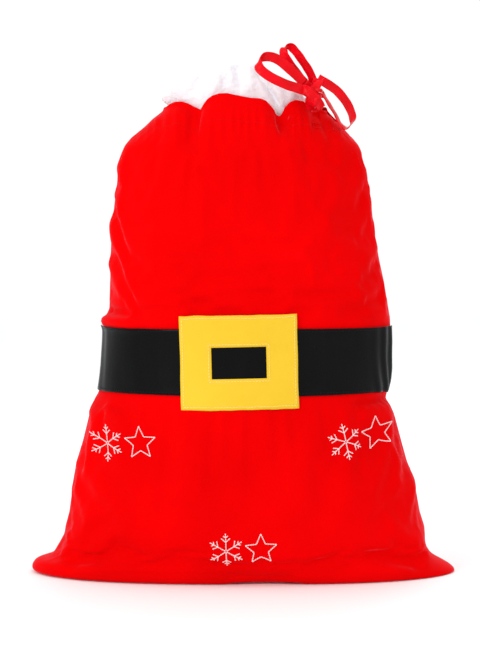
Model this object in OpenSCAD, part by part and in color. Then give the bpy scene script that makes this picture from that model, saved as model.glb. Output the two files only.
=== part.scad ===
// Filled fabric gift sack with a plush collar and a drawstring ribbon, in millimetres.
// It stands on its base at z = 0 and faces -Y, and +X is to the right seen from the front.

/* [Sack] */
// Height of the red cloth, up to the foot of the puffs
cloth_h = 538; // [532:2:546]
// Width across the filled body, just above the corners
body_w = 420; // [410:2:430]
// Depth of the filled body from front to back
body_d = 230; // [220:2:240]
// Distance from one bottom corner tip to the other
corner_span = 492; // [480:2:500]
// Thickness of the velvet
cloth_t = 3; // [2:0.5:3.5]
// Number of puffs along each half of the gathered edge
puffs = 4; // [3:1:6]
// How far a puff rises above the gathers beside it
puff_rise = 8; // [4:1:10]

/* [Belt and buckle] */
// Height of the belt strip
belt_h = 74; // [60:2:90]
// Height of the belt's centre line above the base
belt_z = 248; // [236:2:256]
// Width of the buckle
buckle_w = 128; // [110:2:150]
// Height of the buckle
buckle_h = 104; // [94:1:120]
// How far the buckle's centre lies to the right of the sack's centre
buckle_x = -7; // [-15:1:15]
// Width of the hole in the buckle
hole_w = 60; // [50:1:80]
// Height of the hole in the buckle
hole_h = 35; // [24:1:50]
// Tilt of the buckle, right side up
buckle_tilt = 1.4; // [-3:0.2:3]

/* [Embroidery] */
// Height of a snowflake or a star
motif_h = 40; // [24:1:46]
// Width of a line of stitches
thread_w = 1.6; // [1:0.2:2.4]

/* [Collar] */
// Height of the collar's highest point above the base
collar_top = 578; // [568:2:588]
// Height of the collar's sewn lower edge above the base
collar_foot = 522; // [516:1:526]
// Thickness of the plush
plush_t = 5; // [3:0.5:6]

/* [Ribbon] */
// Width of the ribbon
ribbon_w = 9; // [7:0.5:10]
// Radius of the ribbon's knot
knot_r = 8; // [6:0.5:9]

/* [Hidden] */

// Outline of the filled body from the base up, in per cent:
// [height, half width, half depth, how far the corner sticks out]
outline = [
    [0, 96, 70, 90],
    [0.6, 97, 76, 100],
    [1.2, 98, 81, 96],
    [2, 99, 85, 86],
    [3.2, 100, 89, 62],
    [4.6, 100, 92, 12],
    [7.5, 99.5, 95, 6],
    [13, 96.5, 98, 6],
    [20, 93.5, 100, 6],
    [28, 88, 99, 6],
    [33, 84, 97, 6],
    [37, 80.5, 95, 6],
    [39.5, 79, 94, 6],
    [45, 79, 93, 6],
    [53, 78, 92, 6],
    [58, 76, 91, 6],
    [67, 73.5, 87, 6],
    [73, 71.5, 83, 6],
    [81, 69.5, 75, 6],
    [86, 67, 68, 6],
    [90, 63.5, 62, 6],
    [93, 60, 56, 6],
    [95.5, 54.5, 50, 6],
    [98.5, 48, 43, 6],
    [100, 44, 40, 0]
];
half_w_at = [for (s = outline) [s[0], s[1] / 100 * body_w / 2]];
half_d_at = [for (s = outline) [s[0], s[2] / 100 * body_d / 2]];
corner_at = [for (s = outline) [s[0], s[3] / 100 * (corner_span - body_w) / 2]];

// Half of the gap between two cloths that are sewn together
seam_gap = 0.15;
// Steps across a panel from one side seam to the other
panel_steps = 24;
// Share of the height, in per cent, above which the cloth puffs up
puff_start = 96.5;
// Share of the half width that the puffs take up
puff_span = 0.85;

// Distances from the velvet's outer face to the layers sewn on it
belt_gap = 0.6;
belt_t = 0.8;
stitch_gap = 0.1;
stitch_t = 0.5;
buckle_gap = belt_gap + belt_t + stitch_gap + stitch_t + 0.4;
buckle_t = 1.2;
buckle_face = buckle_gap + buckle_t;
edge_margin = 3;
// Gap under stitches that run straight across curved cloth, which takes up the sag of the curve
chord_gap = 1.6;
frame_gap = 0.6;

// Depths from the velvet's outer face to the layers inside the casing
ribbon_t = 0.6;
casing_ribbon_in = cloth_t + 0.4;
casing_tape_in = casing_ribbon_in + ribbon_t + 0.3;
casing_tape_t = 0.7;

// The ribbon leaves the front panel here, and its knot hangs in front of it
exit_x = 82;
exit_z = 524;
knot_at = [76, -54, 544];

// Centre line of each free stretch of ribbon, and the direction that its width runs in
neck_route = [[81, -38, 527], [80, -41, 531], [79, -44, 535], [78, -46, 537.5]];
neck_side = [0.85, 0, 0.5];
left_route = [
    [67, -59, 549], [58, -64, 552], [47, -70, 555], [35, -74, 560], [24, -76, 566],
    [16, -74, 573], [14, -69, 580], [19, -63, 586], [28, -59, 587], [38, -57, 583],
    [49, -56, 574], [58, -56, 566], [66, -56, 558]
];
left_side = [0.5, -0.35, 0.8];
top_route = [
    [68, -44, 556], [58, -44, 569], [49, -45, 581], [43, -46, 591], [44, -46, 598],
    [51, -46, 599], [58, -46, 592], [66, -45, 581], [73, -44, 570], [77, -44, 559]
];
top_side = [0.3, -1, 0.2];
right_route = [
    [81, -55, 563], [90, -54, 558], [102, -50, 550], [112, -44, 539], [119, -37, 527],
    [121, -31, 516], [115, -27, 509], [108, -28, 514], [101, -34, 526], [93, -41, 538],
    [87, -46, 548]
];
right_side = [0.6, 0.3, 0.75];
ribbon_sides = 8;

function half_w(s) = lookup(s, half_w_at);
function half_d(s) = lookup(s, half_d_at);
function reach(s) = half_w(s) + lookup(s, corner_at);
function mix(a, b, t) = a + (b - a) * t;
function unit(v) = v / norm(v);
function share(z) = 100 * z / cloth_h;

// Front face of the velvet at x, at a share of the height, moved out by off
function face_y(x, s, off) =
    -(cloth_t + (half_d(s) - cloth_t + off) * sqrt(max(0, 1 - pow(x / (half_w(s) + off), 2))));
function on_cloth(x, z, off) = [x, face_y(x, share(z), off), z];

// Point of the front half's inside, at u from -1 to 1 across, moved in by inset
function inside(u, s, inset) = [
    (half_w(s) - inset) * sin(90 * u),
    -(seam_gap + (half_d(s) - inset - seam_gap) * cos(90 * u)),
    max(cloth_t, s * cloth_h / 100)
];

// Rise of the puffs at u from -1 to 1 across, none beside the side seams
function puff(u, s) = s < puff_start || abs(u) > puff_span ? 0 :
    puff_rise * (s - puff_start) / (100 - puff_start) * abs(sin(90 * puffs * (u / puff_span + 1)));

// Closed sheet between two grids of points, outer and inner, of the same size
module sheet(outer, inner) {
    rows = len(outer);
    cols = len(outer[0]);
    count = rows * cols;
    points = concat([for (r = outer) each r], [for (r = inner) each r]);
    faces = concat(
        [for (i = [0:rows - 2], j = [0:cols - 2]) let (a = i * cols + j)
            each [[a, a + 1, a + cols + 1], [a, a + cols + 1, a + cols]]],
        [for (i = [0:rows - 2], j = [0:cols - 2]) let (a = count + i * cols + j)
            each [[a, a + cols + 1, a + 1], [a, a + cols, a + cols + 1]]],
        [for (i = [0:rows - 2], j = [0, cols - 1]) let (a = i * cols + j, b = a + cols)
            each j == 0
                ? [[a, b, count + b], [a, count + b, count + a]]
                : [[a, count + b, b], [a, count + a, count + b]]],
        [for (j = [0:cols - 2], i = [0, rows - 1]) let (a = i * cols + j, b = a + 1)
            each i == 0
                ? [[a, count + b, b], [a, count + a, count + b]]
                : [[a, b, count + b], [a, count + b, count + a]]]
    );
    polyhedron(points, [for (f = faces) [f[2], f[1], f[0]]]);
}

// Solid through a list of closed sections, joined end to end or capped
module loft(sections, ring) {
    n = len(sections);
    m = len(sections[0]);
    sides = [for (i = [0:n - (ring ? 1 : 2)], j = [0:m - 1])
        let (k = (i + 1) % n, l = (j + 1) % m)
        each [[i * m + j, i * m + l, k * m + l], [i * m + j, k * m + l, k * m + j]]];
    caps = ring ? [] : [
        [for (j = [m - 1:-1:0]) j],
        [for (j = [0:m - 1]) (n - 1) * m + j]
    ];
    polyhedron([for (s = sections) each s], concat(sides, caps));
}

// Flat ribbon swept along a route, as wide as ribbon_w along the side direction
module ribbon(route, side) {
    last = len(route) - 1;
    sections = [for (i = [0:last]) let (
        tangent = unit(route[min(i + 1, last)] - route[max(i - 1, 0)]),
        thick = unit(cross(tangent, side)),
        wide = cross(thick, tangent)
    ) [for (k = [0:ribbon_sides - 1]) let (a = 360 * (k + 0.5) / ribbon_sides)
        route[i] + wide * ribbon_w / 2 * cos(a) + thick * 1.1 * sin(a)]];
    loft(sections, false);
}

// Round thread swept along a route
module thread(route, r) {
    last = len(route) - 1;
    sections = [for (i = [0:last]) let (
        tangent = unit(route[min(i + 1, last)] - route[max(i - 1, 0)]),
        across = unit(cross(tangent, [0, 1, 0])),
        over = cross(across, tangent)
    ) [for (k = [0:5]) route[i] + r * (across * cos(60 * k) + over * sin(60 * k))]];
    loft(sections, false);
}

// Half of the velvet tube: floor, wall, corner fins and puffed edge
module panel() {
    us = [for (j = [0:panel_steps]) 2 * j / panel_steps - 1];
    edge_us = concat([-1], 0.98 * us, [1]);
    shares = [for (s = outline) s[0]];
    function cloth_row(s) = let (z = s * cloth_h / 100) concat(
        [[-reach(s), -seam_gap, z]],
        [for (u = us) let (x = reach(s) * sin(90 * u)) [x, face_y(x, s, 0), z + puff(u, s)]],
        [[reach(s), -seam_gap, z]]
    );
    function lining_row(s) = [for (u = edge_us) inside(u, s, cloth_t) + [0, 0, puff(u, s)]];
    floor_us = [for (j = [0:panel_steps + 2]) 2 * j / (panel_steps + 2) - 1];
    function floor_row(half, z) = [for (u = floor_us) [half * sin(90 * u), -seam_gap - cos(90 * u), z]];
    sheet(
        concat([floor_row(half_w(0) - cloth_t, 0)], [for (s = shares) cloth_row(s)]),
        concat([floor_row(half_w(0) - 3 * cloth_t, cloth_t)], [for (s = shares) lining_row(s)])
    );
}

// Strip lying on the front from x0 to x1, as shares of the half width, between two heights
module strip(x0, x1, z0, z1, off, thick) {
    steps = 40;
    inner_shares = [for (s = outline) if (s[0] > share(z0) + 0.2 && s[0] < share(z1) - 0.2) s[0]];
    shares = concat([share(z0)], inner_shares, [share(z1)]);
    function row(s, o) = [for (j = [0:steps]) let (
        u = mix(x0, x1, j / steps),
        x = (half_w(s) + o) * sin(90 * u)
    ) [x, face_y(x, s, o), s * cloth_h / 100]];
    sheet([for (s = shares) row(s, off + thick)], [for (s = shares) row(s, off)]);
}

// Strip lying on the inside of the front half
module lining_strip(x0, x1, z0, z1, inset, thick) {
    steps = 40;
    inner_shares = [for (s = outline) if (s[0] > share(z0) + 0.2 && s[0] < share(z1) - 0.2) s[0]];
    shares = concat([share(z0)], inner_shares, [share(z1)]);
    us = [for (j = [0:steps]) mix(x0, x1, j / steps)];
    sheet(
        [for (s = shares) [for (u = us) inside(u, s, inset)]],
        [for (s = shares) [for (u = us) inside(u, s, inset + thick)]]
    );
}

// Point k of a rectangle's edge, counted from its lower left corner, with n steps a side
function rect_point(size, k, n) = let (
    corners = [[-1, -1], [1, -1], [1, 1], [-1, 1]],
    side = floor(k / n) % 4,
    p = mix(corners[side], corners[(side + 1) % 4], (k % n) / n)
) [p[0] * size[0] / 2, p[1] * size[1] / 2];

function turned(p, angle) =
    [p[0] * cos(angle) - p[1] * sin(angle), p[0] * sin(angle) + p[1] * cos(angle)];

// Rectangular frame lying on the front, centred on the buckle
module buckle_frame(outer, inner, off, thick) {
    n = 6;
    function place(p, o) = let (q = turned(p, buckle_tilt)) on_cloth(buckle_x + q[0], belt_z + q[1], o);
    sections = [for (k = [4 * n - 1:-1:0]) let (a = rect_point(outer, k, n), b = rect_point(inner, k, n))
        concat(
            [for (t = [0, 0.5, 1]) place(mix(a, b, t), off)],
            [for (t = [1, 0.5, 0]) place(mix(a, b, t), off + thick)]
        )];
    loft(sections, true);
}

// Straight line of stitches on the front between two points of [x, z]
module stitch_line(from, to) {
    side = unit(to - from);
    edge = [-side[1], side[0]] * thread_w / 2;
    loft([for (t = [0, 1]) let (p = mix(from, to, t)) [
        on_cloth(p[0] - edge[0], p[1] - edge[1], chord_gap),
        on_cloth(p[0] + edge[0], p[1] + edge[1], chord_gap),
        on_cloth(p[0] + edge[0], p[1] + edge[1], chord_gap + stitch_t),
        on_cloth(p[0] - edge[0], p[1] - edge[1], chord_gap + stitch_t)
    ]], false);
}

// Six-armed snowflake of stitched lines
module snowflake(centre, r) {
    for (k = [0:5]) {
        arm = turned([0, 1], 60 * k);
        stitch_line(centre + arm * thread_w, centre + arm * r);
        for (side = [-1, 1]) {
            across = [-arm[1], arm[0]] * side;
            twig = turned(arm, 50 * side);
            root = centre + arm * r * 0.5 + across * thread_w;
            stitch_line(root, root + twig * r * 0.3);
        }
    }
}

// Five-pointed star drawn as an outline
module star(centre, r) {
    function corner(k, size) = centre + turned([0, 1], 36 * k) * size * (k % 2 == 0 ? 1 : 0.45);
    sections = [for (k = [0:9]) let (
        a = corner(k, r),
        b = corner(k, r - 2 * thread_w)
    ) [
        on_cloth(a[0], a[1], chord_gap),
        on_cloth(b[0], b[1], chord_gap),
        on_cloth(b[0], b[1], chord_gap + stitch_t),
        on_cloth(a[0], a[1], chord_gap + stitch_t)
    ]];
    loft(sections, true);
}

// Snowflake and star side by side, the motif's centre at [x, z]
module motif(x, z, tilt) {
    color("mistyrose") {
        snowflake([x, z] + turned([-motif_h * 0.45, 0], tilt), motif_h / 2);
        star([x, z] + turned([motif_h * 0.5, 0], tilt), motif_h * 0.45);
    }
}

// Front half of the plush collar, a standing wall whose edge is highest in the middle
module collar_half() {
    steps = 24;
    lean = -4;
    // [share of the wall's height, half width, half depth]
    wall = [[0, 78, 31], [0.3, 78, 30], [0.55, 78, 29], [0.76, 79, 29], [1, 86, 30]];
    end_gap = 0.4;
    shoulder = collar_foot + 22;
    function top_z(u) = shoulder + (collar_top - shoulder) * pow(cos(90 * u), 1.2);
    function point(row, u, inset) = [
        lean * row[0] + (row[1] - inset) * sin(90 * u),
        -(end_gap + (row[2] - inset) * cos(90 * u)),
        mix(collar_foot, top_z(u), row[0])
    ];
    us = [for (j = [0:steps]) 2 * j / steps - 1];
    sheet(
        [for (row = wall) [for (u = us) point(row, u, 0)]],
        [for (row = wall) [for (u = us) point(row, u, plush_t)]]
    );
}

module front_panel() {
    color("red") panel();
}

module back_panel() {
    color("red") mirror([0, 1, 0]) panel();
}

// Overlocked thread along the inside of a side seam
module side_seam(side) {
    shares = [for (s = outline) if (s[0] > 4 && s[0] < 95) s[0]];
    color("firebrick")
        thread([for (s = shares) [side * (half_w(s) - cloth_t - 5), 0, s * cloth_h / 100]], 1.2);
}

module left_side_seam() {
    side_seam(-1);
}

module right_side_seam() {
    side_seam(1);
}

// Overlocked thread along the inside of the bottom seam
module bottom_seam() {
    color("firebrick")
        thread([for (x = [-180:30:180]) [x, 0, cloth_t + 1.5]], 1.2);
}

module belt() {
    color("black") strip(-0.96, 0.96, belt_z - belt_h / 2, belt_z + belt_h / 2, belt_gap, belt_t);
}

// Line of stitches that holds one edge of the belt
module belt_stitching(side) {
    z = belt_z + side * (belt_h / 2 - edge_margin);
    color("dimgray")
        strip(-0.95, 0.95, z - thread_w / 2, z + thread_w / 2, belt_gap + belt_t + stitch_gap, stitch_t);
}

module belt_upper_stitching() {
    belt_stitching(1);
}

module belt_lower_stitching() {
    belt_stitching(-1);
}

module buckle() {
    color("gold") buckle_frame([buckle_w, buckle_h], [hole_w, hole_h], buckle_gap, buckle_t);
}

module buckle_outer_stitching() {
    outer = [buckle_w, buckle_h] - [1, 1] * 2 * edge_margin;
    color("khaki")
        buckle_frame(outer, outer - [2, 2] * thread_w, buckle_face + frame_gap, stitch_t);
}

module buckle_inner_stitching() {
    inner = [hole_w, hole_h] + [1, 1] * 2 * edge_margin;
    color("khaki")
        buckle_frame(inner + [2, 2] * thread_w, inner, buckle_face + frame_gap, stitch_t);
}

module left_embroidery() {
    motif(-137, 158, 4);
}

module right_embroidery() {
    motif(128, 164, 12);
}

module bottom_embroidery() {
    motif(-3, 44, 2);
}

module collar_front() {
    color("white") collar_half();
}

module collar_back() {
    color("white") mirror([0, 1, 0]) collar_half();
}

// Tape that makes the channel for the ribbon with the velvet
module casing_tape() {
    color("darkred")
        lining_strip(-0.97, 0.97, cloth_h - 26, cloth_h - 6, casing_tape_in, casing_tape_t);
}

module casing_tape_front() {
    casing_tape();
}

module casing_tape_back() {
    mirror([0, 1, 0]) casing_tape();
}

// Line of stitches that closes the lower side of the channel
module casing_stitching() {
    color("firebrick")
        strip(-0.94, 0.94, cloth_h - 25, cloth_h - 25 + thread_w, belt_gap, stitch_t);
}

module casing_stitching_front() {
    casing_stitching();
}

module casing_stitching_back() {
    mirror([0, 1, 0]) casing_stitching();
}

// Stitched edge of the slot that the ribbon comes out of
module ribbon_exit_stitching() {
    n = 3;
    sections = [for (k = [4 * n - 1:-1:0]) let (
        a = rect_point([10, 8], k, n),
        b = rect_point([7, 5], k, n)
    ) [
        on_cloth(exit_x + a[0], exit_z - 5 + a[1], chord_gap),
        on_cloth(exit_x + b[0], exit_z - 5 + b[1], chord_gap),
        on_cloth(exit_x + b[0], exit_z - 5 + b[1], chord_gap + stitch_t),
        on_cloth(exit_x + a[0], exit_z - 5 + a[1], chord_gap + stitch_t)
    ]];
    color("firebrick") loft(sections, true);
}

module casing_ribbon() {
    color("crimson")
        lining_strip(-0.96, 0.96, cloth_h - 20, cloth_h - 11, casing_ribbon_in, ribbon_t);
}

module ribbon_in_casing_front() {
    casing_ribbon();
}

module ribbon_in_casing_back() {
    mirror([0, 1, 0]) casing_ribbon();
}

module ribbon_neck() {
    color("crimson") ribbon(neck_route, neck_side);
}

module ribbon_knot() {
    color("crimson") translate(knot_at) sphere(r = knot_r, $fn = 32);
}

module ribbon_left_loop() {
    color("crimson") ribbon(left_route, left_side);
}

module ribbon_top_loop() {
    color("crimson") ribbon(top_route, top_side);
}

module ribbon_right_loop() {
    color("crimson") ribbon(right_route, right_side);
}

front_panel();
back_panel();
left_side_seam();
right_side_seam();
bottom_seam();
belt();
belt_upper_stitching();
belt_lower_stitching();
buckle();
buckle_outer_stitching();
buckle_inner_stitching();
left_embroidery();
right_embroidery();
bottom_embroidery();
collar_front();
collar_back();
casing_tape_front();
casing_tape_back();
casing_stitching_front();
casing_stitching_back();
ribbon_exit_stitching();
ribbon_in_casing_front();
ribbon_in_casing_back();
ribbon_neck();
ribbon_knot();
ribbon_left_loop();
ribbon_top_loop();
ribbon_right_loop();
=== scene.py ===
import math

import bpy
import numpy as np
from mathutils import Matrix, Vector, noise


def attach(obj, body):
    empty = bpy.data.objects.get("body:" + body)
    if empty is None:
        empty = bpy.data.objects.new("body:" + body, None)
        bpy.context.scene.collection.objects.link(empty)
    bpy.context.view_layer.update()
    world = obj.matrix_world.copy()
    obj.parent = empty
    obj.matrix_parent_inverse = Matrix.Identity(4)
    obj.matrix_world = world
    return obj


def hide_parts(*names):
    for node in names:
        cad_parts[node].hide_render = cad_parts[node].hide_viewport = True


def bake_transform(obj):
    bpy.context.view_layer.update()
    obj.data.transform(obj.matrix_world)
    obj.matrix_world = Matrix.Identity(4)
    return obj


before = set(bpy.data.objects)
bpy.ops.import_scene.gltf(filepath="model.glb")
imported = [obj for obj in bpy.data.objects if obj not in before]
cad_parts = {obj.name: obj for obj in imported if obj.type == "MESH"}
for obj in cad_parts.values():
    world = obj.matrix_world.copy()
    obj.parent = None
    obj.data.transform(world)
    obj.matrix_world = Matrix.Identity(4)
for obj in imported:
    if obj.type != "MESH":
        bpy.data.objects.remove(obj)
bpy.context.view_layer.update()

MM = 0.001

# ---------------- driving sizes, in metres

CLOTH_H = 0.538
BODY_HALF_W = 0.210
BODY_HALF_D = 0.115
CORNER_OUT = 0.036
BELT_Z = 0.248
BELT_H = 0.074
BUCKLE_X = -0.007
BUCKLE = (0.128, 0.104)
HOLE = (0.060, 0.035)
BUCKLE_TILT = math.radians(1.4)
COLLAR_FOOT = 0.522
# 2 mm wider than the CAD's ribbon, because the satin cups and looks wider
RIBBON_W = 0.011
RIBBON_T = 0.0004
KNOT = Vector((0.076, -0.054, 0.544))
EXIT = Vector((0.082, -0.034, 0.524))

# ---------------- camera and light

VIEW_DISTANCE = 2.5
VIEW_ELEVATION = math.radians(3)
VIEW_CENTRE = Vector((-0.006, 0, 0.287))
# Width in metres that one pixel covers at the view's centre, the picture's height in pixels, and the
# camera's sensor in millimetres
PIXEL = 0.00115
PICTURE_H = 645
SENSOR = 36

cam_data = bpy.data.cameras.new("camera")
cam_data.lens = SENSOR * VIEW_DISTANCE / (PICTURE_H * PIXEL)
cam_data.clip_end = 50
camera = bpy.data.objects.new("camera", cam_data)
bpy.context.collection.objects.link(camera)
toward = Vector((0, -math.cos(VIEW_ELEVATION), math.sin(VIEW_ELEVATION)))
camera.location = VIEW_CENTRE + toward * VIEW_DISTANCE
camera.rotation_euler = (-toward).to_track_quat("-Z", "Y").to_euler()
bpy.context.scene.camera = camera
bpy.context.scene.view_settings.view_transform = "Standard"


def area_light(name, place, target, size, power, colour=(1, 1, 1)):
    data = bpy.data.lights.new(name, "AREA")
    data.size = size
    data.energy = power
    data.color = colour
    lamp = bpy.data.objects.new(name, data)
    bpy.context.collection.objects.link(lamp)
    lamp.location = place
    lamp.rotation_euler = (Vector(target) - Vector(place)).to_track_quat("-Z", "Y").to_euler()


area_light("key", (-1.6, -1.9, 1.3), (0, 0, 0.3), 0.9, 20)
area_light("fill", (1.9, -1.6, 0.9), (0, 0, 0.3), 1.6, 2)
area_light("rim", (0.4, 1.8, 1.8), (0, 0, 0.35), 1.2, 10)
world = bpy.data.worlds.new("studio")
world.use_nodes = True
world.node_tree.nodes["Background"].inputs["Color"].default_value = (1, 1, 1, 1)
world.node_tree.nodes["Background"].inputs["Strength"].default_value = 1.06
bpy.context.scene.world = world


# ---------------- materials

def new_material(name):
    mat = bpy.data.materials.new(name)
    mat.use_nodes = True
    tree = mat.node_tree
    return mat, tree.nodes, tree.links, tree.nodes["Principled BSDF"]


def node(nodes, kind, **values):
    made = nodes.new(kind)
    for key, value in values.items():
        if key in made.inputs:
            made.inputs[key].default_value = value
        else:
            setattr(made, key, value)
    return made


def two_tone(nodes, links, source, low, high, into, start=0.35, end=0.65):
    """Colours a surface between two tones by a grey texture."""
    ramp = node(nodes, "ShaderNodeValToRGB")
    ramp.color_ramp.elements[0].position = start
    ramp.color_ramp.elements[1].position = end
    ramp.color_ramp.elements[0].color = (*low, 1)
    ramp.color_ramp.elements[1].color = (*high, 1)
    links.new(source, ramp.inputs["Fac"])
    links.new(ramp.outputs["Color"], into)


def add_bumps(nodes, links, shader, layers):
    """Stacks bumps from (height socket, strength, distance) on a shader."""
    last = None
    for height, strength, distance in layers:
        bump = node(nodes, "ShaderNodeBump", Strength=strength, Distance=distance)
        links.new(height, bump.inputs["Height"])
        if last:
            links.new(last.outputs["Normal"], bump.inputs["Normal"])
        last = bump
    links.new(last.outputs["Normal"], shader.inputs["Normal"])


def texture_noise(nodes, links, scale, detail=3.0, stretch=(1, 1, 1)):
    coords = node(nodes, "ShaderNodeTexCoord")
    mapping = node(nodes, "ShaderNodeMapping")
    mapping.inputs["Scale"].default_value = stretch
    made = node(nodes, "ShaderNodeTexNoise", Scale=scale, Detail=detail)
    links.new(coords.outputs["Object"], mapping.inputs["Vector"])
    links.new(mapping.outputs["Vector"], made.inputs["Vector"])
    return made.outputs["Fac"]


def pile_material(name, low, high, roughness, sheen, sheen_tint, pile, bump, gloss=0.05):
    """Cloth with a short pile: brushed patches, tiny tufts and a soft sheen at grazing angles."""
    mat, nodes, links, shader = new_material(name)
    patches = texture_noise(nodes, links, 9, 4)
    tufts = texture_noise(nodes, links, pile, 2)
    brushed = texture_noise(nodes, links, 55, 3, (1, 1, 0.35))
    two_tone(nodes, links, patches, low, high, shader.inputs["Base Color"])
    add_bumps(nodes, links, shader, [(brushed, 0.25, bump * 3), (tufts, 0.6, bump)])
    shader.inputs["Roughness"].default_value = roughness
    shader.inputs["Specular IOR Level"].default_value = gloss
    shader.inputs["Sheen Weight"].default_value = sheen
    shader.inputs["Sheen Roughness"].default_value = 0.25
    shader.inputs["Sheen Tint"].default_value = (*sheen_tint, 1)
    return mat


def satin_material():
    """Woven satin ribbon: fine threads across the width and a bright, slightly stretched gloss."""
    mat, nodes, links, shader = new_material("red_satin")
    weave = texture_noise(nodes, links, 1400, 2, (1, 1, 0.3))
    shade = texture_noise(nodes, links, 60, 2)
    two_tone(nodes, links, shade, (0.62, 0.0, 0.003), (0.80, 0.0, 0.008), shader.inputs["Base Color"])
    add_bumps(nodes, links, shader, [(weave, 0.3, 0.00015)])
    shader.inputs["Roughness"].default_value = 0.30
    shader.inputs["Specular IOR Level"].default_value = 0.10
    shader.inputs["Sheen Weight"].default_value = 0.05
    shader.inputs["Sheen Tint"].default_value = (1, 0.3, 0.35, 1)
    return mat


def faux_leather_material():
    """Glossy black coated cloth with a fine grain and shallow creases, its colour painted a little darker in
    the creases' hollows and lighter on their ridges, as painted shade.
    """
    mat, nodes, links, shader = new_material("black_faux_leather")
    grain = texture_noise(nodes, links, 700, 3)
    crease = texture_noise(nodes, links, 38, 4, (1, 1, 0.25))
    # the crease texture that raises the bump also paints the base colour darker in its hollows: painted
    # shade
    two_tone(nodes, links, crease, (0.0010, 0.0010, 0.0013), (0.002, 0.002, 0.0025),
             shader.inputs["Base Color"])
    two_tone(nodes, links, grain, (0.26, 0.26, 0.26), (0.38, 0.38, 0.38), shader.inputs["Roughness"])
    add_bumps(nodes, links, shader, [(crease, 0.35, 0.0015), (grain, 0.25, 0.0002)])
    shader.inputs["Specular IOR Level"].default_value = 0.05
    shader.inputs["Coat Weight"].default_value = 0.07
    shader.inputs["Coat Roughness"].default_value = 0.12
    return mat


def thread_material(name, low, high, sheen=0.3):
    """Twisted sewing thread, its colour painted darker in the grooves of the twist and lighter on its
    ridges, as painted shade.
    """
    mat, nodes, links, shader = new_material(name)
    twist_and_painted_shade = texture_noise(nodes, links, 1600, 2, (1, 1, 2.5))
    # the twist texture that raises the bump also paints the colour darker in its grooves: painted shade
    two_tone(nodes, links, twist_and_painted_shade, low, high, shader.inputs["Base Color"])
    add_bumps(nodes, links, shader, [(twist_and_painted_shade, 0.5, 0.0002)])
    shader.inputs["Roughness"].default_value = 0.6
    shader.inputs["Specular IOR Level"].default_value = 0.15
    shader.inputs["Sheen Weight"].default_value = sheen
    return mat


def floor_material():
    mat, nodes, links, shader = new_material("pale_floor")
    faint = texture_noise(nodes, links, 3, 2)
    two_tone(nodes, links, faint, (0.935, 0.955, 0.96), (0.945, 0.965, 0.97), shader.inputs["Base Color"])
    shader.inputs["Roughness"].default_value = 0.7
    shader.inputs["Specular IOR Level"].default_value = 0.1
    return mat


VELVET = pile_material("red_velvet", (0.68, 0.0, 0.0004), (0.76, 0.0, 0.0008), 0.85, 0.75,
                       (1, 0.2, 0.26), 1300, 0.0004, 0.02)
PLUSH = pile_material("white_plush", (0.78, 0.80, 0.84), (0.88, 0.90, 0.93), 0.9, 0.1,
                      (1, 1, 1), 420, 0.0012)
FELT = pile_material("yellow_felt", (0.74, 0.47, 0.028), (0.80, 0.52, 0.036), 0.8, 0.03,
                     (1, 0.9, 0.5), 900, 0.0003, 0.03)
SATIN = satin_material()
TAPE = pile_material("red_tape", (0.32, 0.002, 0.006), (0.42, 0.004, 0.01), 0.8, 0.1,
                     (1, 0.5, 0.5), 1500, 0.0002)
FAUX_LEATHER = faux_leather_material()
RED_THREAD = thread_material("red_thread", (0.60, 0.0, 0.0006), (0.72, 0.0, 0.001), 0.0)
BLACK_THREAD = thread_material("black_thread", (0.002, 0.002, 0.002), (0.008, 0.008, 0.008), 0.0)
YELLOW_THREAD = thread_material("yellow_thread", (0.86, 0.66, 0.14), (0.98, 0.86, 0.42))
PALE_THREAD = thread_material("pale_thread", (0.90, 0.55, 0.55), (1.0, 0.80, 0.80))


# ---------------- mesh helpers

def add_mesh(name, verts, faces, mat, smooth=True):
    mesh = bpy.data.meshes.new(name)
    mesh.from_pydata([tuple(v) for v in verts], [], faces)
    mesh.materials.append(mat)
    mesh.update()
    if smooth:
        mesh.polygons.foreach_set("use_smooth", [True] * len(mesh.polygons))
    obj = bpy.data.objects.new(name, mesh)
    bpy.context.collection.objects.link(obj)
    return obj


def grid_faces(rows, cols, flip=False, start=0):
    faces = []
    for i in range(rows - 1):
        for j in range(cols - 1):
            a = start + i * cols + j
            quad = (a, a + 1, a + cols + 1, a + cols)
            faces.append(quad[::-1] if flip else quad)
    return faces


def apply_modifiers(obj):
    graph = bpy.context.evaluated_depsgraph_get()
    graph.update()
    mesh = bpy.data.meshes.new_from_object(obj.evaluated_get(graph))
    obj.modifiers.clear()
    obj.data = mesh
    return obj


def thicken(obj, thickness, offset=-1.0, levels=0):
    """Gives a sheet its real thickness, and rounds it."""
    solid = obj.modifiers.new("thickness", "SOLIDIFY")
    solid.thickness = thickness
    solid.offset = offset
    solid.use_even_offset = False
    if levels:
        sub = obj.modifiers.new("round", "SUBSURF")
        sub.levels = levels
        sub.render_levels = levels
    return apply_modifiers(obj)


def smoothstep(x):
    x = np.clip(x, 0, 1)
    return x * x * (3 - 2 * x)


def tube(points, radius, sides=6, taper=False):
    """Vertices and faces of a round thread through the points."""
    points = [Vector(p) for p in points]
    last = len(points) - 1
    verts, faces = [], []
    for i, p in enumerate(points):
        along = (points[min(i + 1, last)] - points[max(i - 1, 0)]).normalized()
        across = along.cross(Vector((0.13, 0.97, 0.2))).normalized()
        over = across.cross(along)
        r = radius * (0.45 if taper and i in (0, last) else 1)
        for k in range(sides):
            a = 2 * math.pi * k / sides
            verts.append(p + (across * math.cos(a) + over * math.sin(a)) * r)
    for i in range(last):
        for k in range(sides):
            a, b = i * sides + k, i * sides + (k + 1) % sides
            faces.append((a, b, b + sides, a + sides))
    faces.append(tuple(range(sides - 1, -1, -1)))
    faces.append(tuple(last * sides + k for k in range(sides)))
    return verts, faces


def join_parts(parts):
    verts, faces = [], []
    for v, f in parts:
        start = len(verts)
        verts += v
        faces += [tuple(i + start for i in face) for face in f]
    return verts, faces


# ---------------- ribbons: the free cord

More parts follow.
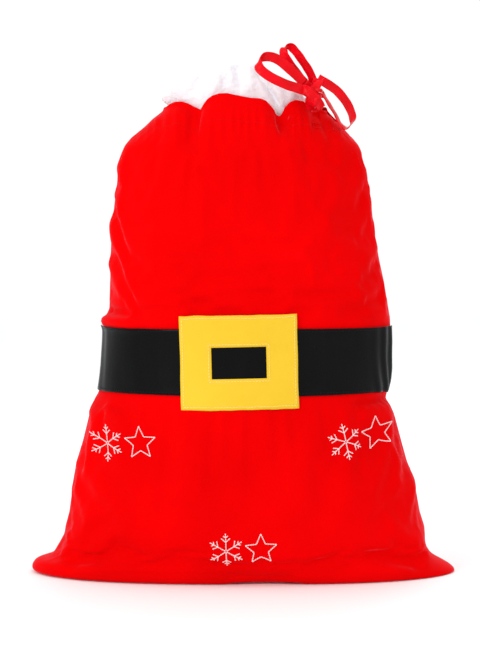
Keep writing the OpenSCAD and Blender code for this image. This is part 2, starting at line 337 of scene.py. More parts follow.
NECK_PATH = [
    (0.081, -0.038, 0.527), (0.080, -0.041, 0.531), (0.079, -0.044, 0.535), (0.078, -0.046, 0.5375)]
LEFT_PATH = [
    (0.067, -0.059, 0.549), (0.058, -0.064, 0.552), (0.047, -0.070, 0.555), (0.035, -0.074, 0.560),
    (0.024, -0.076, 0.566), (0.016, -0.074, 0.573), (0.014, -0.069, 0.580), (0.019, -0.063, 0.586),
    (0.028, -0.059, 0.587), (0.038, -0.057, 0.583), (0.049, -0.056, 0.574), (0.058, -0.056, 0.566),
    (0.066, -0.056, 0.558)]
TOP_PATH = [
    (0.068, -0.044, 0.556), (0.058, -0.044, 0.569), (0.049, -0.045, 0.581), (0.043, -0.046, 0.591),
    (0.044, -0.046, 0.598), (0.051, -0.046, 0.599), (0.058, -0.046, 0.592), (0.066, -0.045, 0.581),
    (0.073, -0.044, 0.570), (0.077, -0.044, 0.559)]
RIGHT_PATH = [
    (0.081, -0.055, 0.563), (0.090, -0.054, 0.558), (0.102, -0.050, 0.550), (0.112, -0.044, 0.539),
    (0.119, -0.037, 0.527), (0.121, -0.031, 0.516), (0.115, -0.027, 0.509), (0.108, -0.028, 0.514),
    (0.101, -0.034, 0.526), (0.093, -0.041, 0.538), (0.087, -0.046, 0.548)]
# Direction of the ribbon's width at the start and the end of each stretch
NECK_SIDES = ((0.85, 0, 0.5), (0.85, 0, 0.5))
LEFT_SIDES = ((0.45, 0.15, 0.9), (0.55, -0.1, 0.85))
TOP_SIDES = ((0.75, -0.5, 0.45), (0.7, -0.6, 0.4))
RIGHT_SIDES = ((0.6, 0.3, 0.75), (0.3, 1, 0.3))


def smooth_path(points, steps=6):
    """A finer row of points on a smooth curve through the given ones."""
    p = [Vector(q) for q in points]
    p = [p[0] * 2 - p[1]] + p + [p[-1] * 2 - p[-2]]
    made = []
    for i in range(1, len(p) - 2):
        for k in range(steps):
            t = k / steps
            made.append(0.5 * (2 * p[i] + (p[i + 1] - p[i - 1]) * t
                               + (2 * p[i - 1] - 5 * p[i] + 4 * p[i + 1] - p[i + 2]) * t * t
                               + (3 * p[i] - p[i - 1] - 3 * p[i + 1] + p[i + 2]) * t ** 3))
    return made + [p[-2]]


def path_length(points):
    return sum((Vector(b) - Vector(a)).length for a, b in zip(points, points[1:]))


def ribbon_strip(points, sides, width, cup=0.0008, columns=9):
    """Vertices and faces of a flat satin strip, with selvedges, slightly cupped along its middle."""
    verts, faces = [], []
    last = len(points) - 1
    for i, p in enumerate(points):
        along = (points[min(i + 1, last)] - points[max(i - 1, 0)]).normalized()
        side = Vector(sides(i / last))
        thick = along.cross(side).normalized()
        wide = thick.cross(along)
        for k in range(columns):
            t = 2 * k / (columns - 1) - 1
            ripple = 0.00025 * math.sin(i * 0.9 + t * 2) + cup * (t * t - 0.4)
            verts.append(p + wide * (t * width / 2) + thick * ripple)
    for i in range(last):
        for k in range(columns - 1):
            a = i * columns + k
            faces.append((a, a + 1, a + columns + 1, a + columns))
    return verts, faces


# Where along its length the ribbon turns from its first to its second direction, and over how much
TURN_FROM = 0.45
TURN_OVER = 0.2


def ribbon_piece(name, path, ends):
    points = smooth_path(path)
    first, second = Vector(ends[0]), Vector(ends[1])

    def side_at(t):
        return first.lerp(second, float(smoothstep((t - TURN_FROM) / TURN_OVER)))

    strip = ribbon_strip(points, side_at, RIBBON_W)
    obj = add_mesh(name + "_satin", *strip, SATIN)
    thicken(obj, RIBBON_T, 0.0)
    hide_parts(name)
    return obj


def wrap(centre, radius, axis, start, turn, width, swell=1.0):
    """A band wound round the knot's core: radius, the axis it turns about, and the angles it covers."""
    axis = Vector(axis).normalized()
    first = axis.orthogonal().normalized()
    second = axis.cross(first)
    points = []
    for k in range(17):
        a = start + turn * k / 16
        points.append(centre + (first * math.cos(a) + second * math.sin(a) * swell) * radius)
    return ribbon_strip(points, lambda t: axis, width, 0.0014, 7)


def knot_core(centre, size):
    """A crumpled core, seen only between the bands."""
    verts, faces = [], []
    rows, cols = 12, 18
    for i in range(1, rows):
        for j in range(cols):
            a, b = math.pi * i / rows, 2 * math.pi * j / cols
            d = Vector((math.sin(a) * math.cos(b), math.sin(a) * math.sin(b), math.cos(a)))
            bump = 1 + 0.14 * noise.noise(d * 2.4 + Vector((4, 1, 2)))
            verts.append(centre + Vector((d.x * size[0], d.y * size[1], d.z * size[2])) * bump)
    for i in range(rows - 2):
        for j in range(cols):
            a, b = i * cols + j, i * cols + (j + 1) % cols
            faces.append((a, a + cols, b + cols, b))
    faces.append(tuple(range(cols)))
    faces.append(tuple((rows - 2) * cols + j for j in range(cols - 1, -1, -1)))
    return verts, faces


neck = ribbon_piece("ribbon_neck", NECK_PATH, NECK_SIDES)
left_loop = ribbon_piece("ribbon_left_loop", LEFT_PATH, LEFT_SIDES)
top_loop = ribbon_piece("ribbon_top_loop", TOP_PATH, TOP_SIDES)
right_loop = ribbon_piece("ribbon_right_loop", RIGHT_PATH, RIGHT_SIDES)

BAND_W = 0.0108
BAND_T = 0.0005
CORE_SIZE = (0.0062, 0.0058, 0.0064)


def knot_band(points, side):
    """A short stretch of ribbon that lies over the knot."""
    return ribbon_strip(smooth_path(points), lambda t: side, BAND_W)


bands = [
    wrap(KNOT, 0.0076, (0.55, 0.1, 0.8), 0.3, 5.9, 0.010),
    wrap(KNOT + Vector((0.002, -0.001, -0.003)), 0.0090, (0.8, -0.2, -0.5), 1.0, 4.6, 0.0105),
    # folds over the front of the knot
    knot_band([(0.063, -0.060, 0.551), (0.069, -0.064, 0.549), (0.076, -0.065, 0.543),
               (0.082, -0.060, 0.535), (0.085, -0.052, 0.530)], (0.6, -0.3, 0.75)),
    knot_band([(0.083, -0.057, 0.562), (0.080, -0.063, 0.555), (0.075, -0.064, 0.547),
               (0.072, -0.058, 0.538), (0.074, -0.049, 0.532), (0.078, -0.043, 0.530)], (0.9, -0.1, 0.3)),
    # the roots of the loops, which run on into the knot
    knot_band([(0.067, -0.0585, 0.549), (0.071, -0.056, 0.547), (0.076, -0.054, 0.544)], (0.5, 0, 0.85)),
    knot_band([(0.066, -0.0555, 0.558), (0.071, -0.055, 0.552), (0.076, -0.054, 0.545)], (0.6, -0.1, 0.8)),
    knot_band([(0.067, -0.044, 0.5565), (0.071, -0.048, 0.551), (0.076, -0.053, 0.545)], (0.75, -0.4, 0.45)),
    knot_band([(0.0765, -0.044, 0.560), (0.077, -0.048, 0.553), (0.077, -0.053, 0.546)], (0.9, -0.4, 0.2)),
    knot_band([(0.082, -0.055, 0.5625), (0.079, -0.055, 0.556), (0.077, -0.054, 0.546)], (0.9, 0.2, 0.4)),
    knot_band([(0.0875, -0.0455, 0.547), (0.083, -0.050, 0.547), (0.077, -0.053, 0.545)], (0.3, 0.6, 0.8))]
knot = add_mesh("ribbon_knot_bands", *join_parts(bands), SATIN)
thicken(knot, BAND_T, 0.0)
core = add_mesh("ribbon_knot_core", *knot_core(KNOT, CORE_SIZE), SATIN)
for piece in (knot, core):
    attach(piece, "drawstring")
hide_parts("ribbon_knot")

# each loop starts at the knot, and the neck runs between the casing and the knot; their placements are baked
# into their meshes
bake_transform(neck)
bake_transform(left_loop)
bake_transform(top_loop)
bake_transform(right_loop)

for loop, path, others in ((left_loop, LEFT_PATH, [knot, core, neck]), (top_loop, TOP_PATH, []),
                           (right_loop, RIGHT_PATH, [])):
    line = smooth_path(path)


# ---------------- the sack's surface

# Outline from the base up, in per cent of the sizes above:
# height, left half width, right half width, half depth, how far the left and right corners stick out
OUTLINE = np.array([
    (0, 98, 98, 85, 99, 100), (0.65, 98.5, 98.5, 89, 110, 97), (1.5, 98.8, 98.8, 91, 107, 80),
    (2.4, 99, 99, 92, 98, 55), (3, 99.1, 99.1, 93, 84, 35), (3.4, 99.1, 99.1, 93.6, 50, 25),
    (4.2, 99.2, 99.2, 94.3, 34, 12), (5.4, 99.2, 99.1, 95.2, 24, 3), (6.5, 99.2, 99, 96, 14, 0),
    (8.1, 99.1, 98.9, 96.8, 2, 0), (9.6, 98.9, 98.6, 97.3, 0, 0), (12.8, 96.7, 96, 98, 0, 0),
    (20, 94.2, 92.7, 99.5, 0, 0), (23.6, 92.6, 88.9, 100, 0, 0), (28.2, 89, 85.6, 99, 0, 0),
    (33.3, 85.8, 82.1, 97.5, 0, 0), (35.7, 84, 79.4, 96.5, 0, 0), (37.2, 82.4, 76.9, 95, 0, 0),
    (38.6, 80.2, 77.8, 94, 0, 0), (41, 79.4, 78.6, 93.5, 0, 0), (44.6, 78.2, 79.2, 93, 0, 0),
    (49.7, 77.2, 79.6, 92.8, 0, 0), (52.2, 76.9, 79.4, 92.8, 0, 0), (54, 77.4, 79, 92.8, 0, 0),
    (56.3, 74.4, 78.3, 92.5, 0, 0), (62, 73.8, 75.9, 90.5, 0, 0), (67.2, 73.5, 73, 87.5, 0, 0),
    (73, 73, 70.1, 83.5, 0, 0), (79.5, 71.2, 68.6, 77.5, 0, 0), (82.6, 70, 67.4, 74, 0, 0),
    (86.7, 69.3, 65.1, 69, 0, 0), (89.5, 66.9, 62.8, 65, 0, 0), (91.1, 65.2, 61, 62, 0, 0),
    (93.1, 61.9, 58, 57, 0, 0), (94.4, 58.8, 55.7, 54, 0, 0), (96, 54.8, 52.6, 50, 0, 0),
    (98.1, 50.4, 48.9, 45, 0, 0), (100, 44.5, 44.6, 40, 0, 0)])
FINE = np.linspace(0, 100, 801)


def smoothed(column):
    values = np.interp(FINE, OUTLINE[:, 0], OUTLINE[:, column])
    kernel = np.hanning(11)
    padded = np.concatenate([np.full(5, values[0]), values, np.full(5, values[-1])])
    return np.convolve(padded, kernel / kernel.sum(), "valid")


PROFILES = {column: smoothed(column) for column in (1, 2, 3, 4, 5)}


def profile(column, s):
    return np.interp(s, FINE, PROFILES[column]) / 100


def half_width(u, s):
    """Distance from the middle to the side seam, corner included, on the side that u is on."""
    left = profile(1, s) * BODY_HALF_W + profile(4, s) * CORNER_OUT
    right = profile(2, s) * BODY_HALF_W + profile(5, s) * CORNER_OUT
    return np.where(u < 0, left, right)


# The front's notches between puffs, in mm: x, depth and width, with the share of the depth by which the
# cloth is pushed in there, and how many widths the push spreads over
NOTCHES = [(-55, 9, 9), (40, 19, 10), (81, 9, 7)]
NOTCH_PUSH = 0.30
NOTCH_SPREAD = 1.4
# Height of the front's red edge, in mm above the base, at x in mm
EDGE = [
    (-93, 529), (-88, 532.5), (-82, 534.8), (-74, 534.6), (-64, 531.5), (-55, 529), (-50, 533),
    (-45, 538), (-39, 541.6), (-31, 543.6), (-22, 543.8), (-12, 541.6), (5, 538.7), (18, 538.2),
    (25, 536.4), (31, 532), (36, 526.5), (40, 521.5), (43.5, 526), (48, 531.5), (54, 535.6),
    (60, 537.3), (68, 536), (75, 531.5), (81, 527.5), (87, 530.5), (93, 526)]
# The back's edge, in mm: where its notches lie, their height, how far its puffs rise between them, and how
# deep and how wide the cloth is pushed in at each notch
BACK_NOTCHES = (-93, -56, -18, 30, 64, 93)
BACK_LOW = 530
BACK_RISE = 8
BACK_PUSH = 2.6
BACK_SPREAD = 11


def edge_height(side, x):
    """Height of the red edge, in mm above the base, at x in mm."""
    if side < 0:
        return np.interp(x, [p[0] for p in EDGE], [p[1] for p in EDGE])
    share = np.interp(x, BACK_NOTCHES, np.arange(len(BACK_NOTCHES))) % 1
    return BACK_LOW + BACK_RISE * np.sin(math.pi * share) ** 0.8


def lump(p, size, seed):
    return noise.noise(Vector(p) / size + Vector((seed, seed * 1.7, -seed)))


def fold_height(x, z, ax, az, bx, bz, width, height):
    """Height at (x, z) of a soft ridge or valley that runs from a to b and fades at both ends."""
    dx, dz = bx - ax, bz - az
    length2 = dx * dx + dz * dz
    t = ((x - ax) * dx + (z - az) * dz) / length2
    away = (x - ax - t * dx) ** 2 + (z - az - t * dz) ** 2
    ends = smoothstep(t * 4 + 0.6) * smoothstep((1 - t) * 2.5 + 0.2)
    return height * ends * np.exp(-away / (width * width))


# Soft folds of the front, in mm: from (x, z) to (x, z), width, height out of the cloth
FRONT_FOLDS = [
    (43, 523, 78, 465, 10, -4.5), (51, 522, 62, 481, 8, 3), (29, 524, 64, 455, 12, 2.5),
    # creases down the left and the right edge
    (-150, 428, -124, 341, 5, -3.2), (-157, 420, -132, 345, 5, 2.6), (-147, 370, -116, 296, 5, -3),
    (-154, 360, -126, 300, 5, 2.2), (-128, 470, -138, 400, 6, -2.4), (-176, 178, -190, 105, 5, -2.8),
    (-168, 180, -181, 110, 5, 2.4), (-186, 120, -200, 60, 5, 2.4), (-160, 196, -130, 176, 5, 2.2),
    (128, 440, 140, 372, 6, -2.8), (136, 432, 147, 366, 5, 2.2), (146, 360, 152, 306, 5, -2.4),
    (168, 176, 186, 108, 5, -2.8), (160, 170, 176, 100, 6, 2.4), (184, 118, 202, 60, 5, 2.4),
    (-55, 532, -64, 482, 8, -4), (-71, 529, -90, 473, 10, 2.5), (-43, 531, -39, 484, 12, 2),
    (83, 532, 102, 483, 7, -4), (91, 522, 110, 465, 9, 2.5), (96, 485, 117, 387, 13, -2.2),
    (58, 455, 92, 368, 18, 2.2), (115, 416, 148, 318, 12, -2), (-164, 303, -109, 299, 6, -5),
    (-166, 290, -115, 290, 7, 3.5), (-148, 332, -87, 312, 12, 1.6), (162, 204, 118, 200, 6, -4.5),
    (162, 192, 124, 189, 9, 3), (148, 318, 106, 296, 9, -2), (-172, 198, -117, 199, 8, -2.5),
    (-176, 184, -127, 187, 9, 2), (-207, 20, -165, 89, 11, 4), (-199, 16, -126, 49, 9, -4),
    (-215, 27, -196, 97, 8, -3), (-188, 13, -107, 25, 8, 3), (207, 18, 156, 82, 11, 5),
    (199, 14, 124, 42, 9, -5), (213, 27, 189, 101, 8, -4), (190, 9, 116, 19, 8, 4),
    (184, 51, 146, 124, 12, -2.5), (-18, 8, 64, 6, 7, -4), (-58, 24, 67, 27, 14, 2.5),
]
BACK_FOLDS = [(-f[0], f[1], -f[2] * 0.9, f[3] + 6, f[4] * 1.2, f[5] * 0.8)
              for f in FRONT_FOLDS if f[3] < 480]
BACK_FOLDS += [(-60, 531, -74, 466, 9, -5), (-20, 532, -8, 472, 10, -5), (40, 531, 50, 462, 9, -5),
               (75, 532, 96, 478, 8, -4), (10, 535, 16, 476, 12, 3), (-90, 506, -120, 416, 16, 2)]

ROWS = 236
COLS = 221
FLOOR_ROWS = 10
ROLL_ROWS = 7
RIM_ROWS = 13
RIM_ROLL = 0.0040
RIM_TURN = math.radians(150)
# Half width, half depth and gap at the seam of the ring in which the lining ends at the collar's foot
LINING_HALF_W = 0.0795
LINING_HALF_D = 0.0335
LINING_GAP = 0.0004
VELVET_T = 0.0016
# Half of the gap between the two panels, and between the two collar halves, where they are sewn together
SEAM_GAP = 0.00005
COLLAR_GAP = 0.0001
# How far the uncreased wall keeps from the seam plane, away from the seams, and the lowest heights that the
# cloth may have before and after it gets its thickness
SEAM_ROOM = 0.0008
REST_Z = 0.0008
LOWEST_Z = 0.0002
WALL = np.concatenate([np.linspace(0, 8, 34, endpoint=False), np.linspace(8, 100, ROWS - 34)])


def sack_grid(side):
    """One panel's points as an array [row, column, xyz]: floor, wall and rim. side is -1 for the front."""
    us = np.linspace(-1, 1, COLS)
    folds = FRONT_FOLDS if side < 0 else BACK_FOLDS
    rows = []
    sin_u, cos_u = np.sin(us * math.pi / 2), np.cos(us * math.pi / 2)
    for s in WALL:
        depth = profile(3, s) * BODY_HALF_D
        ear = np.where(us < 0, profile(4, s), profile(5, s))
        x = half_width(us, s) * sin_u
        low = smoothstep(ear * 1.2)
        inner = np.clip(1 - np.abs(sin_u) ** (2.25 + 0.5 * low), 0, 1) ** (0.47 + 0.08 * low)
        y = SEAM_ROOM * np.minimum(1, cos_u * 8) + (depth - SEAM_ROOM) * inner
        z = np.full(COLS, s / 100 * CLOTH_H)
        rows.append(np.stack([x, side * y, z], 1))
    grid = np.array(rows)

    # the gathered edge rises in puffs and dips in notches
    near_top = smoothstep((WALL - 88) / 12)[:, None]
    target = edge_height(side, grid[..., 0] / MM) * MM
    grid[..., 2] += near_top ** 1.5 * (target - CLOTH_H)

    if side < 0:
        # the front's lower edge is tucked up a little where the bottom seam pulls it in
        lift = 0.005 * np.exp(-((grid[..., 0] / MM - 22) / 40) ** 2) * (1 - smoothstep(grid[..., 2] / 0.05))
        grid[..., 2] += lift * smoothstep((-grid[..., 1] - 0.04) / 0.04)

    # folds push the cloth out or in along its normal
    normal = grid_normals(grid)
    x, z = grid[..., 0] / MM, grid[..., 2] / MM
    out = np.zeros(x.shape)
    for f in folds:
        out += fold_height(x, z, *f)
    if side < 0:
        for nx, deep, wide in NOTCHES:
            out -= near_top * deep * NOTCH_PUSH * np.exp(-((x - nx) / (wide * NOTCH_SPREAD)) ** 2)
    else:
        for nx in BACK_NOTCHES[1:-1]:
            out -= near_top * BACK_PUSH * np.exp(-((x - nx) / BACK_SPREAD) ** 2)
    # small gathers along the stitched channel
    fine = np.sin(x * 0.62 + 1.3 * np.sin(x * 0.11)) * np.exp(-((z - 514) / 13) ** 2)
    out += fine * 0.7
    belt_edge = (np.exp(-((z - (BELT_Z + BELT_H / 2) / MM - 9) / 8) ** 2)
                 + np.exp(-((z - (BELT_Z - BELT_H / 2) / MM + 9) / 8) ** 2))
    if side < 0:
        out += belt_edge * 1.1
    lumps = np.array([[lump(p, 0.085, 3.1) * 2.4 + lump(p, 0.034, 7.7) * 0.9 for p in row]
                      for row in grid[::2, ::2]])
    lumps = np.repeat(np.repeat(lumps, 2, 0), 2, 1)[:grid.shape[0], :grid.shape[1]]
    lumps = blur(lumps, 2)
    calm = smoothstep((z - 4) / 30) * np.clip(cos_u * 4, 0, 1)[None, :]
    flat = 1 - 0.75 * smoothstep(1 - np.abs(z - BELT_Z / MM) / 60) if side < 0 else 1
    out += lumps * calm * flat
    out *= np.clip(cos_u * 7, 0.0, 1)[None, :] * smoothstep((z - 1) / 12)
    grid += normal * (out * MM)[..., None]
    grid[..., 1] = side * np.maximum(side * grid[..., 1], SEAM_GAP)
    grid[..., 2] = np.maximum(grid[..., 2], REST_Z)

    # the floor runs in to the bottom seam
    foot = grid[0]
    base = []
    for t in np.linspace(0, 1, FLOOR_ROWS, endpoint=False):
        row = foot.copy()
        row[:, 0] *= 0.965 + 0.035 * t
        row[:, 1] = side * SEAM_GAP + (foot[:, 1] - side * SEAM_GAP) * t
        row[:, 2] = REST_Z
        base.append(row)

    # the rim rolls over inwards, and its lining runs down to the collar's foot
    rim = []
    top = grid[-1]
    inward = -top[:, :2]
    inward /= np.maximum(np.linalg.norm(inward, axis=1), 1e-6)[:, None]
    foot_ring = np.stack([LINING_HALF_W * sin_u, side * (LINING_GAP + LINING_HALF_D * cos_u),
                          np.minimum(COLLAR_FOOT + 0.001, top[:, 2] - 0.006)], 1)
    for t in np.linspace(0, 1, ROLL_ROWS + 1)[1:]:
        angle = t * RIM_TURN
        row = top.copy()
        row[:, :2] += inward * RIM_ROLL * (1 - math.cos(angle)) * np.array([0.8, 1.0])
        row[:, 2] += RIM_ROLL * math.sin(angle)
        row[:, 1] = side * np.maximum(side * row[:, 1], SEAM_GAP)
        rim.append(row)
    rolled = rim[-1]
    for t in np.linspace(0, 1, RIM_ROWS - ROLL_ROWS + 1)[1:]:
        row = rolled * (1 - t) + foot_ring * t
        row[:, 1] = side * np.maximum(side * row[:, 1], SEAM_GAP)
        rim.append(row)
    return np.concatenate([np.array(base), grid, np.array(rim)])


def blur(values, times):
    for _ in range(times):
        padded = np.pad(values, 1, mode="edge")
        values = (padded[1:-1, :-2] + padded[1:-1, 2:] + padded[:-2, 1:-1] + padded[2:, 1:-1]
                  + 2 * padded[1:-1, 1:-1]) / 6
    return values


def sample(values, i, j):
    """Values of a grid between its points, at fractional row i and column j."""
    i = np.clip(i, 0, values.shape[0] - 1.001)
    j = np.clip(j, 0, values.shape[1] - 1.001)
    i0, j0 = i.astype(int), j.astype(int)
    fi, fj = (i - i0)[..., None], (j - j0)[..., None]
    return ((values[i0, j0] * (1 - fj) + values[i0, j0 + 1] * fj) * (1 - fi)
            + (values[i0 + 1, j0] * (1 - fj) + values[i0 + 1, j0 + 1] * fj) * fi)


def grid_normals(grid):
    """Unit normals of a panel's grid, pointing out of the sack."""
    du = np.gradient(grid, axis=1)
    dv = np.gradient(grid, axis=0)
    n = np.cross(du, dv)
    length = np.linalg.norm(n, axis=2, keepdims=True)
    n = n / np.maximum(length, 1e-12)
    outward = grid * np.array([1, 1, 0])
    sign = np.sign((n * outward).sum(2, keepdims=True))
    sign[sign == 0] = 1
    return n * sign


front_grid = sack_grid(-1)
back_grid = sack_grid(1)


# ---------------- cloth simulation of the velvet

SIM_STEP = 4
SIM_FRAMES = 22
SIM_REACH = 0.007
FILLING_INSET = 0.0035


def relax(grid, side):
    """Lets the velvet hang over its filling, as a slightly larger cloth. Returns how each point moved."""
    rows = list(range(FLOOR_ROWS, FLOOR_ROWS + ROWS, SIM_STEP))
    cols = list(range(0, COLS, SIM_STEP))
    coarse = grid[np.ix_(rows, cols)]
    faces = grid_faces(len(rows), len(cols), flip=side > 0)
    cloth = add_mesh("sim_cloth", coarse.reshape(-1, 3), faces, VELVET)
    inset = coarse - grid_normals(coarse) * FILLING_INSET
    filling = add_mesh("sim_filling", inset.reshape(-1, 3), faces, VELVET)
    filling.modifiers.new("collision", "COLLISION")
    filling.collision.thickness_outer = 0.001
    filling.collision.cloth_friction = 8

    share = coarse[..., 2] / CLOTH_H
    edge = np.abs(np.linspace(-1, 1, len(cols)))[None, :]
    held = np.maximum(smoothstep((share - 0.90) / 0.06), 1 - smoothstep((share - 0.02) / 0.05))
    held = np.maximum(held, smoothstep((edge - 0.90) / 0.08) + 0 * share)
    if side < 0:
        off_belt = np.abs(coarse[..., 2] - BELT_Z) - BELT_H / 2
        held = np.maximum(held, 1 - smoothstep((off_belt - 0.004) / 0.02))
    pins = cloth.vertex_groups.new(name="held")
    for index, weight in enumerate(held.reshape(-1)):
        pins.add([index], float(weight), "REPLACE")

    sim = cloth.modifiers.new("cloth", "CLOTH")
    sim.settings.quality = 6
    sim.settings.mass = 0.25
    sim.settings.tension_stiffness = 25
    sim.settings.compression_stiffness = 25
    sim.settings.shear_stiffness = 12
    sim.settings.bending_stiffness = 1.2
    sim.settings.air_damping = 4
    sim.settings.vertex_group_mass = "held"
    sim.settings.pin_stiffness = 3
    sim.settings.shrink_min = -0.03
    sim.collision_settings.collision_quality = 3
    sim.collision_settings.distance_min = 0.001
    sim.collision_settings.use_self_collision = False
    sim.point_cache.frame_start = 1
    sim.point_cache.frame_end = SIM_FRAMES
    for frame_number in range(1, SIM_FRAMES + 1):
        bpy.context.scene.frame_set(frame_number)
    apply_modifiers(cloth)
    flat = np.zeros(len(cloth.data.vertices) * 3)
    cloth.data.vertices.foreach_get("co", flat)
    moved = flat.reshape(coarse.shape) - coarse
    bpy.context.scene.frame_set(1)
    for obj in (cloth, filling):
        bpy.data.objects.remove(obj)

    # the cap keeps every point near the shape that the sack was cut and filled to
    size = np.linalg.norm(moved, axis=2, keepdims=True)
    moved *= np.minimum(1, SIM_REACH / np.maximum(size, 1e-9)) * (1 - held)[..., None]
    i = np.clip((np.arange(grid.shape[0]) - FLOOR_ROWS) / SIM_STEP, 0, len(rows) - 1.001)[:, None]
    j = np.clip(np.arange(COLS) / SIM_STEP, 0, len(cols) - 1.001)[None, :]
    i, j = np.broadcast_arrays(i, j)
    fine = sample(moved, i, j)
    fine[:FLOOR_ROWS] = 0
    fine[FLOOR_ROWS + ROWS:] = 0
    for axis in range(3):
        fine[..., axis] = blur(fine[..., axis], 3)
    return fine


for panel_grid, panel_side in ((front_grid, -1), (back_grid, 1)):
    panel_grid += relax(panel_grid, panel_side)
    panel_grid[..., 1] = panel_side * np.maximum(panel_side * panel_grid[..., 1], SEAM_GAP)


def panel_piece(name, grid, side):
    rows, cols = grid.shape[:2]
    obj = add_mesh(name + "_velvet", grid.reshape(-1, 3), grid_faces(rows, cols, flip=side > 0), VELVET)
    thicken(obj, VELVET_T)
    for v in obj.data.vertices:
        v.co.z = max(v.co.z, LOWEST_Z)
    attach(obj, "sack")
    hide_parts(name)


panel_piece("front_panel", front_grid, -1)
panel_piece("back_panel", back_grid, 1)


# ---------------- places on the sack's surface

WALL_GRIDS = {-1: front_grid[FLOOR_ROWS:FLOOR_ROWS + ROWS], 1: back_grid[FLOOR_ROWS:FLOOR_ROWS + ROWS]}
WALL_NORMALS = {side: grid_normals(grid) for side, grid in WALL_GRIDS.items()}


def skin(side, u, z, off):
    """Points of the cloth's outer face at u from -1 to 1 across and height z, moved out by off."""
    u, z, off = np.broadcast_arrays(np.asarray(u, float), np.asarray(z, float), np.asarray(off, float))
    i = np.interp(z / CLOTH_H * 100, WALL, np.arange(ROWS))
    j = (u + 1) / 2 * (COLS - 1)
    return sample(WALL_GRIDS[side], i, j) + sample(WALL_NORMALS[side], i, j) * off[..., None]


def lining(side, u, z, inset):
    """Points inside the cloth, moved in by inset, level, along a smoothed outward direction."""
    points = skin(side, u, z, 0)
    out = points * np.array([0.6, 1, 0])
    out /= np.maximum(np.linalg.norm(out, axis=-1, keepdims=True), 1e-9)
    points = points - out * inset
    points[..., 1] = side * np.maximum(side * points[..., 1], SEAM_GAP)
    return points


def across(x, z):
    """The share u across the front at which the cloth lies at x."""
    s = z / CLOTH_H * 100
    return np.arcsin(np.clip(x / half_width(x, s), -1, 1)) / (math.pi / 2)


def on_front(x, z, off):
    x, z = np.asarray(x, float), np.asarray(z, float)
    return skin(-1, across(x, z), z, off)


def cloth_strip(name, points, thickness, mat, levels=0):
    """A flat strip of cloth from a grid of points on the sack."""
    rows, cols = points.shape[:2]
    obj = add_mesh(name + "_strip", points.reshape(-1, 3), grid_faces(rows, cols), mat)
    thicken(obj, thickness, 1.0 if points[0, 0, 1] > points[0, cols // 2, 1] else -1.0, levels)
    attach(obj, "sack")
    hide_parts(name)
    return obj


def stitch(a, b, out, radius):
    """One stitch from a to b: a short thread that rises out of the cloth and dives back in."""
    a, b, out = Vector(a), Vector(b), Vector(out)
    points = [a - out * radius, a.lerp(b, 0.18) + out * radius * 0.5, a.lerp(b, 0.5) + out * radius * 0.8,
              a.lerp(b, 0.82) + out * radius * 0.5, b - out * radius]
    return tube(points, radius, 5, taper=True)


def stitches_along(points, pitch, fill, radius):
    """A row of stitches along a line of points, with the cloth's outward direction at each."""
    parts = []
    steps = [0.0]
    for p, q in zip(points, points[1:]):
        steps.append(steps[-1] + float(np.linalg.norm(np.array(q) - np.array(p))))
    total = steps[-1]
    count = max(1, int(round(total / pitch)))
    points = np.array(points)
    for k in range(count):
        ends = []
        for t in (k / count, (k + fill) / count):
            ends.append([np.interp(t * total, steps, points[:, c]) for c in range(3)])
        middle = (np.array(ends[0]) + np.array(ends[1])) / 2
        out = middle * np.array([1, 1, 0])
        out /= max(np.linalg.norm(out), 1e-9)
        out = out * 0.4 + np.array([0, math.copysign(0.6, middle[1]), 0])
        parts.append(stitch(ends[0], ends[1], out / np.linalg.norm(out), radius))
    return parts


def thread_piece(name, parts, mat):
    obj = add_mesh(name + "_threads", *join_parts(parts), mat)
    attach(obj, "sack")
    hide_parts(name)


# Pitch, filled share of the pitch and thread radius of each kind of stitch
BELT_STITCH = (0.0040, 0.72, 0.00038)
BUCKLE_STITCH = (0.0034, 0.7, 0.00034)
MOTIF_STITCH = (0.0026, 0.94, 0.00062)
CASING_STITCH = (0.0034, 0.7, 0.00022)
EXIT_STITCH = (0.0016, 0.9, 0.00035)
# How far a row of stitches starts above the face that it is sewn on
THREAD_LIFT = 0.0001


# ---------------- belt and buckle

BELT_OFF = 0.0010
BELT_T = 0.0008
belt_u = np.linspace(-0.975, 0.925, 200)[None, :]
belt_v = np.linspace(0, 1, 34)[:, None]
belt_z = BELT_Z - BELT_H / 2 + BELT_H * belt_v + 0.0008 * np.sin(belt_u * 5 + 1) * (belt_v - 0.5)
# it creases where it turns away at its two ends
right_waves = np.sin(belt_u * 62 + 2.2 * np.sin(belt_v * 3.1) + belt_v * 4.0) * 0.5 + 0.5
left_waves = np.sin(belt_u * 48 + belt_v * 3.0) * 0.5 + 0.5
crease = smoothstep((belt_u - 0.60) / 0.25) * right_waves * (0.0018 + 0.0014 * (1 - belt_v))
crease = crease * (1 - 0.85 * smoothstep((belt_u - 0.885) / 0.04))
crease = crease + smoothstep((-0.72 - belt_u) / 0.2) * left_waves * 0.0010
belt_points = skin(-1, belt_u + 0 * belt_v, belt_z, BELT_OFF + crease)
belt = cloth_strip("belt", belt_points, BELT_T, FAUX_LEATHER)

EDGE_MARGIN = 0.003
for name, side in (("belt_upper_stitching", 1), ("belt_lower_stitching", -1)):
    row_u = np.linspace(-0.95, 0.91, 300)
    line = skin(-1, row_u, BELT_Z + side * (BELT_H / 2 - EDGE_MARGIN), BELT_OFF + BELT_T + THREAD_LIFT)
    thread_piece(name, stitches_along(line, *BELT_STITCH), BLACK_THREAD)

BUCKLE_OFF = BELT_OFF + BELT_T + 0.0012
BUCKLE_T = 0.0014


